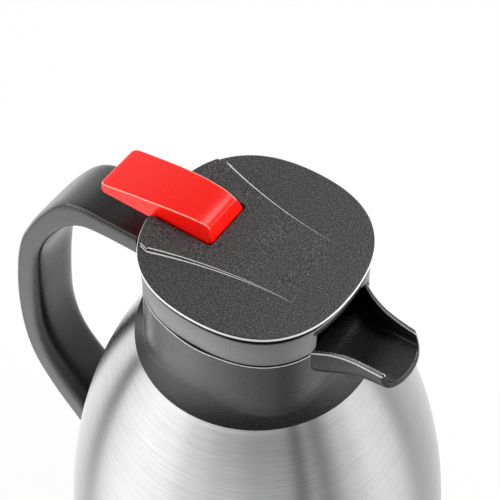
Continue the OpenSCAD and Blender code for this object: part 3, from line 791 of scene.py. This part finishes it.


# %% [markdown]
# ## Moulded plastics
#
# The lid and handle are ABS or polypropylene from a spark-eroded mould. The
# mould's texture gives tiny domes that sparkle where they catch the light. A
# noise at the size of the grain drives bump, roughness and a little colour:
# the colour is lighter on the grain's tops, a painted glint.


# %% Plastic recipe
def moulded(name, hex_dark, hex_glint, rough, grain_mm, bump, speckle, ior=1.5):
    """Textured plastic: colour runs from dark to light on the grain's tops, a painted glint.

    A higher speckle lets more of the surface count as a top with a painted glint.
    """
    made, tree, coords = new_material(name)
    grain = add(tree, "ShaderNodeTexNoise", {
        "Vector": coords, "Scale": per_metre(grain_mm), "Detail": 2.0, "Roughness": 0.6})
    cloud = add(tree, "ShaderNodeTexNoise", {
        "Vector": coords, "Scale": per_metre(14), "Detail": 3.0, "Roughness": 0.5})
    # Lighter colour on the grain's tops: painted glints where the domes catch the light
    glint_tops = add(tree, "ShaderNodeMapRange", {
        "Value": grain.outputs["Fac"], "From Min": 0.66 - speckle, "From Max": 0.74,
        "To Min": 0.0, "To Max": 1.0})
    colour = add(tree, "ShaderNodeMix", {
        0: glint_tops.outputs["Result"], 6: linear(hex_dark), 7: linear(hex_glint)}, data_type="RGBA")
    worn = add(tree, "ShaderNodeMapRange", {
        "Value": cloud.outputs["Fac"], "From Min": 0.3, "From Max": 0.7,
        "To Min": rough - 0.03, "To Max": rough + 0.04})
    relief = add(tree, "ShaderNodeBump", {
        "Height": grain.outputs["Fac"], "Strength": bump, "Distance": grain_mm * MM * 0.35})
    shader = add(tree, "ShaderNodeBsdfPrincipled", {
        "Base Color": colour.outputs[2], "Roughness": worn.outputs["Result"],
        "IOR": ior, "Normal": relief.outputs["Normal"]})
    add(tree, "ShaderNodeOutputMaterial", {"Surface": shader.outputs["BSDF"]})
    return made


# Coarse spark-eroded ABS: nearly black, with bright specks that are painted glints
plate_abs = moulded("spark_textured_abs_plate", "#0e0e0e", "#747474", 0.44, 0.42, 0.5, 0.2)
# Fine satin ABS of the lid's band, a plain grey that takes broad soft lights
band_abs = moulded("satin_grey_abs_band", "#727272", "#8a8a8a", 0.36, 0.5, 0.16, 0.15)
# Polypropylene collar, dark with a fine satin grain
collar_pp = moulded("satin_polypropylene_collar", "#222222", "#3e3e3e",
                    0.27, 0.5, 0.2, 0.15, ior=1.55)
# Polypropylene handle, the same mould texture on a darker ground
handle_pp = moulded("satin_polypropylene_handle", "#1c1c1c", "#383838",
                    0.27, 0.55, 0.2, 0.13, ior=1.55)
# Pigmented ABS of the lever, whose full colour needs a weak, smooth gloss
lever_abs = moulded("pigmented_abs_lever", "#f80e02", "#ff2810", 0.3, 0.5, 0.22, 0.12, ior=1.42)
# Inner parts: plain black polypropylene, natural white acetal and matt rubber
inner_pp = moulded("black_polypropylene_inside", "#1a1a1a", "#262626", 0.5, 0.8, 0.1, 0.1)
white_pom = moulded("natural_acetal_bush", "#dcdcd6", "#e8e8e2", 0.4, 0.8, 0.06, 0.1)
rubber = moulded("black_rubber_foot", "#151515", "#222222", 0.75, 1.0, 0.3, 0.1)
# Painted highlights: light colours for the narrow rounded edges, standing for the gloss they catch
highlight_abs = moulded("painted_highlight_abs_edge", "#e6e6e6", "#eeeeee", 0.2, 0.8, 0.02, 0.1)
highlight_pp = moulded("painted_highlight_polypropylene_edge", "#5c5c5c", "#6c6c6c", 0.3, 0.55, 0.05, 0.13)
highlight_red = moulded("painted_highlight_red_abs_edge", "#ff9c84", "#ffa890", 0.2, 0.8, 0.02, 0.1)
print("plastics made:", len(bpy.data.materials))

# %% [markdown]
# ## Silicone, steel and the getter
#
# The body's steel is brushed round its axis with abrasive belts. Each scratch
# is a few hundredths of a millimetre wide and runs round the body, so the
# light spreads along the height and draws upright streaks. The scratches are
# noise over the direction from the axis, which changes slowly, and the height,
# which changes fast. The shader's tangent runs round Z and is turned a quarter,
# because the spread is square to the scratches.


# %% Brushed steel
def brushed_steel(name, hex_colour, rough, line_mm, bump, anisotropic):
    """Steel brushed round Z. line_mm is the drawn spacing of the scratches.

    Real ones are finer than a pixel, so they are drawn as coarse as they need
    to show. A finer layer has scratches 22 mm long, a coarser one 60 mm.
    """
    made, tree, coords = new_material(name)
    layers = []
    flat = add(tree, "ShaderNodeVectorMath", {0: coords, 1: (1, 1, 0)}, operation="MULTIPLY")
    ring = add(tree, "ShaderNodeVectorMath", {0: flat.outputs["Vector"]}, operation="NORMALIZE")
    height = add(tree, "ShaderNodeVectorMath", {0: coords, 1: (0, 0, 1)}, operation="MULTIPLY")
    for size, scratch_mm in [(line_mm, 22), (line_mm * 2.5, 60)]:
        turned = add(tree, "ShaderNodeVectorMath", {
            0: ring.outputs["Vector"], "Scale": 80 / scratch_mm}, operation="SCALE")
        raised = add(tree, "ShaderNodeVectorMath", {
            0: height.outputs["Vector"], "Scale": per_metre(size)}, operation="SCALE")
        place = add(tree, "ShaderNodeVectorMath", {
            0: turned.outputs["Vector"], 1: raised.outputs["Vector"]}, operation="ADD")
        layers.append(add(tree, "ShaderNodeTexNoise", {
            "Vector": place.outputs["Vector"], "Scale": 1.0, "Detail": 2.0, "Roughness": 0.7}))
    both = add(tree, "ShaderNodeMath", {
        0: layers[0].outputs["Fac"], 1: layers[1].outputs["Fac"]}, operation="ADD")
    depth = add(tree, "ShaderNodeMapRange", {
        "Value": both.outputs["Value"], "From Min": 0.7, "From Max": 1.3})
    low, high = ((*[min(1, v * k) for v in linear(hex_colour)[:3]], 1) for k in (0.94, 1.04))
    colour = add(tree, "ShaderNodeMix", {
        0: depth.outputs["Result"], 6: low, 7: high}, data_type="RGBA")
    roughness = add(tree, "ShaderNodeMapRange", {
        "Value": depth.outputs["Result"], "To Min": rough + 0.04, "To Max": rough - 0.03})
    relief = add(tree, "ShaderNodeBump", {
        "Height": both.outputs["Value"], "Strength": bump, "Distance": line_mm * MM * 0.2})
    around = add(tree, "ShaderNodeTangent", direction_type="RADIAL", axis="Z")
    shader = add(tree, "ShaderNodeBsdfPrincipled", {
        "Base Color": colour.outputs[2], "Metallic": 1.0,
        "Roughness": roughness.outputs["Result"], "Anisotropic": anisotropic,
        "Anisotropic Rotation": 0.25, "Tangent": around.outputs["Tangent"],
        "Normal": relief.outputs["Normal"]})
    add(tree, "ShaderNodeOutputMaterial", {"Surface": shader.outputs["BSDF"]})
    return made


# Belt-brushed stainless sheet, the drawn flask, turned screws and porous metal
body_steel = brushed_steel("brushed_stainless_steel_body", "#cccccc", 0.24, 0.32, 0.18, 0.9)
inner_steel = brushed_steel("drawn_stainless_steel_flask", "#cfcfcf", 0.22, 0.6, 0.1, 0.4)
screw_steel = brushed_steel("turned_stainless_steel_hardware", "#c4c4c4", 0.28, 0.3, 0.12, 0.3)
getter_steel = brushed_steel("sintered_getter_metal", "#7d7a76", 0.6, 0.5, 0.3, 0.0)

# %% [markdown]
# The seals are moulded silicone, milky because a little light goes into it and
# comes out again. Transmission would draw that too, and is slow and grainy on
# such small rings, so a small share of subsurface scattering stands for it.

# %% Silicone
silicone, tree, coords = new_material("translucent_silicone_seal")
dust = add(tree, "ShaderNodeTexNoise", {"Vector": coords, "Scale": per_metre(2), "Detail": 3.0})
tone = add(tree, "ShaderNodeMix", {
    0: dust.outputs["Fac"], 6: linear("#d9d9d4"), 7: linear("#ececea")}, data_type="RGBA")
body = add(tree, "ShaderNodeBsdfPrincipled", {
    "Base Color": tone.outputs[2], "Roughness": 0.45, "IOR": 1.41, "Subsurface Weight": 0.2,
    "Subsurface Scale": 0.002})
add(tree, "ShaderNodeOutputMaterial", {"Surface": body.outputs["BSDF"]})

# %% [markdown]
# The CAD nodes that stay in sight are dressed too. The record names a material
# slot for each node, and one table turns the slot's name into a material.

# %% Give every piece its material
by_slot = {
    "steel_brushed": body_steel, "steel_inner": inner_steel, "steel_hardware": screw_steel,
    "plate_grain": plate_abs, "band_satin": band_abs, "collar_satin": collar_pp,
    "handle_satin": handle_pp, "inner_plastic": inner_pp, "white_plastic": white_pom,
    "lever_red": lever_abs, "silicone": silicone, "black_rubber": rubber,
    "getter_metal": getter_steel}
slots_of_nodes = {
    part["node"]: part.get("material_slot") or part.get("material")
    for part in frame["record"].get("subparts", []) if isinstance(part, dict) and "node" in part}
print("slots in the record:", len(slots_of_nodes))


def dress(ob, *made):
    """Gives an object its materials, in the order of its faces' marks."""
    while ob.data.materials:
        ob.data.materials.pop()
    for one in made:
        ob.data.materials.append(one)


for name, ob in frame["nodes"].items():
    if not ob.hide_render:
        dress(ob, by_slot.get(slots_of_nodes.get(name), inner_pp))
# Each skin's second material is a painted highlight on its marked edges
# The deck is dressed in black plastic, painted shade for the joint under the plate
for piece, made in [(steel_body, (body_steel,)), (collar_skin, (collar_pp, highlight_abs)),
                    (handle_skin, (handle_pp, highlight_pp)), (cap_skin, (handle_pp,)),
                    (lid_top, (plate_abs, highlight_abs)), (band_skin, (band_abs,)),
                    (deck_skin, (inner_pp,)), (lever_skin, (lever_abs, highlight_red))]:
    dress(piece, *made)

# %% [markdown]
# ## Camera
#
# The camera stands where the photographer's did. Its angles and lens were
# worked out from the outlines in the picture: 51 degrees above the horizon,
# 35 degrees round from the front, and a long lens. A Track To constraint could
# aim it, but the fit gives the axes themselves, so they go into its matrix.

# %% Camera
AZIMUTH, ELEVATION, ROLL = np.radians([34.7932, 51.1702, -0.5804])
FOCAL_PX, IMAGE_PX, SENSOR = 1403.443, 500, 36.0
UNIT = 0.04   # metres: the fit's unit of length is the plate's radius
DISTANCE, ASIDE, BELOW = 12.0, 0.052585, 0.067098   # in that unit: how far off, left and down
back = np.array([np.sin(AZIMUTH) * np.cos(ELEVATION), -np.cos(AZIMUTH) * np.cos(ELEVATION),
                 np.sin(ELEVATION)])
right = np.array([np.cos(AZIMUTH), np.sin(AZIMUTH), 0.0])
up = np.cross(back, right)
r_axis = np.cos(ROLL) * right + np.sin(ROLL) * up
u_axis = -np.sin(ROLL) * right + np.cos(ROLL) * up
place = (back * DISTANCE - ASIDE * r_axis - BELOW * u_axis) * UNIT + np.array([0, 0, RIM * MM])
lens = bpy.data.cameras.new("camera")
lens.sensor_width, lens.lens = SENSOR, FOCAL_PX / IMAGE_PX * SENSOR
lens.clip_start, lens.clip_end = 0.01, 50
camera = bpy.data.objects.new("camera", lens)
bpy.context.scene.collection.objects.link(camera)
matrix = np.eye(4)
matrix[:3, 0], matrix[:3, 1], matrix[:3, 2], matrix[:3, 3] = r_axis, u_axis, back, place
camera.matrix_world = Matrix(matrix.tolist())
bpy.context.scene.camera = camera
print("camera at", np.round(place, 3), "lens", round(lens.lens, 2), "mm")

# %% [markdown]
# ## Studio
#
# The floor and the air behind are plain white for the camera. For the object
# the studio is a pale room with a few darker panels, which brushed steel
# draws as upright streaks. Cards on stands would do the same. Panels painted
# on the world cast no shadow and can't get into another view.

# %% Floor
FLOOR_R, FLOOR_GLOW = 0.6, 0.94   # metres, and the share of plain white for the camera
ring = np.linspace(0, 2 * np.pi, 96, endpoint=False)
floor_mesh = bpy.data.meshes.new("floor")
floor_mesh.from_pydata(round_axis(FLOOR_R, ring, 0.0).tolist(), [], [list(range(len(ring)))])
floor = bpy.data.objects.new("floor", floor_mesh)
bpy.context.scene.collection.objects.link(floor)
# The object's own rays pass the floor and meet the world's panels below it
floor.visible_glossy = floor.visible_diffuse = False
floor_paper, tree, coords = new_material("white_studio_paper")
paper = add(tree, "ShaderNodeBsdfDiffuse", {"Color": linear("#f2f2f2")})
glow = add(tree, "ShaderNodeEmission", {"Color": (1, 1, 1, 1), "Strength": 1.0})
ray = add(tree, "ShaderNodeLightPath")
share = add(tree, "ShaderNodeMath", {
    0: ray.outputs["Is Camera Ray"], 1: FLOOR_GLOW}, operation="MULTIPLY")
both = add(tree, "ShaderNodeMixShader", {
    0: share.outputs["Value"], 1: paper.outputs["BSDF"], 2: glow.outputs["Emission"]})
add(tree, "ShaderNodeOutputMaterial", {"Surface": both.outputs["Shader"]})
dress(floor, floor_paper)

# %% [markdown]
# The panels are one colour ramp over the direction's angle round Z, the same
# at every height up to the ceiling. The steel mirrors the ramp across its
# width, so each panel, dark or pale, becomes an upright streak in its place.

# %% World
world = bpy.data.worlds.new("studio")
bpy.context.scene.world = world
world.use_nodes = True
tree = world.node_tree
tree.nodes.clear()
way = add(tree, "ShaderNodeTexCoord").outputs["Generated"]
direction = add(tree, "ShaderNodeSeparateXYZ", {0: way})
azimuth = add(tree, "ShaderNodeMath", {
    0: direction.outputs["Y"], 1: direction.outputs["X"]}, operation="ARCTAN2")
turned = add(tree, "ShaderNodeMapRange", {
    "Value": azimuth.outputs["Value"], "From Min": -np.pi, "From Max": np.pi})
panels = add(tree, "ShaderNodeValToRGB", {"Fac": turned.outputs["Result"]})
panels.color_ramp.interpolation = "EASE"
# Degrees round from the spout, and brightness: a narrow dark flag at -165, a
# bright wall from there to -77 that fades to -39, two dark flags at -28 and
# -15, a pale panel round 17, a darker one at 47, and a pale wall from 89 on
grey = [(-180, 1.2), (-174, 1.1), (-168, 0.25), (-163, 0.3), (-157, 1.3), (-145, 1.5),
        (-133, 1.65), (-115, 1.55), (-97, 1.15), (-77, 0.95), (-53, 0.75), (-39, 0.66),
        (-28, 0.25), (-22, 0.55), (-15, 0.35), (3, 0.9), (17, 1.2), (33, 1.1), (47, 0.5),
        (60, 0.7), (89, 1.05), (110, 1.15), (145, 1.35), (163, 1.3), (180, 1.2)]
while len(panels.color_ramp.elements) < len(grey):
    panels.color_ramp.elements.new(0.5)
for element, (degrees, value) in zip(panels.color_ramp.elements, grey):
    element.position, element.color = (degrees + 180) / 360, (value, value, value, 1)
print("stops in the ramp of panels:", len(grey))

# %% [markdown]
# Overhead the room is plain grey, because the lid's dark grain would look pale
# under a bright ceiling. A dark card hangs on the side where the camera
# stands, so what faces it mirrors the card and keeps its own colour.

# %% Ceiling and dark card
CEILING = (0.36, 0.36, 0.36, 1)
CARD_WAY, CARD_SHADE = (0.36, -0.52, 0.78), 0.2   # towards its middle, and what it lets by
overhead = add(tree, "ShaderNodeMapRange", {
    "Value": direction.outputs["Z"], "From Min": 0.3, "From Max": 0.75},
    interpolation_type="SMOOTHSTEP")
room = add(tree, "ShaderNodeMix", {
    0: overhead.outputs["Result"], 6: panels.outputs["Color"], 7: CEILING}, data_type="RGBA")
facing = add(tree, "ShaderNodeVectorMath", {0: way, 1: CARD_WAY}, operation="DOT_PRODUCT")
card = add(tree, "ShaderNodeMapRange", {
    "Value": facing.outputs["Value"], "From Min": 0.35, "From Max": 0.95,
    "To Min": 1.0, "To Max": CARD_SHADE}, interpolation_type="SMOOTHSTEP")
studio = add(tree, "ShaderNodeVectorMath", {
    0: room.outputs[2], "Scale": card.outputs["Result"]}, operation="SCALE")
ray = add(tree, "ShaderNodeLightPath")
seen = add(tree, "ShaderNodeMix", {
    0: ray.outputs["Is Camera Ray"], 6: studio.outputs["Vector"], 7: (1, 1, 1, 1)},
    data_type="RGBA")
light = add(tree, "ShaderNodeBackground", {"Color": seen.outputs[2], "Strength": 1.0})
add(tree, "ShaderNodeOutputWorld", {"Surface": light.outputs["Background"]})

# %% [markdown]
# Three square softboxes light the carafe: one above and behind for the sheen
# on the lid, and one at each side. Sun lamps would draw hard shadows. The two
# side boxes are hidden from glossy rays, so the steel draws the panels only.


# %% Lamps
def softbox(name, at, size, watts):
    """A square area lamp that faces the carafe's neck."""
    data = bpy.data.lights.new(name, "AREA")
    data.size, data.energy = size, watts
    lamp = bpy.data.objects.new(name, data)
    bpy.context.scene.collection.objects.link(lamp)
    lamp.location = at
    lamp.rotation_euler = (Vector(at) - Vector((0, 0, 0.15))).to_track_quat("Z", "Y").to_euler()
    return lamp


softbox("sheen_softbox", (0.1, 0.5, 1.25), 0.35, 4.0)
for name, at, watts in [("left_softbox", (-0.76, -0.72, 0.42), 8.5),
                        ("right_softbox", (0.8, 0.55, 0.42), 12.0)]:
    softbox(name, at, 0.8, watts).visible_glossy = False
print("lamps:", len(bpy.data.lights))

# %% [markdown]
# The Standard view shows each colour about as it is written.

# %% Colour management
bpy.context.scene.view_settings.view_transform = "Standard"
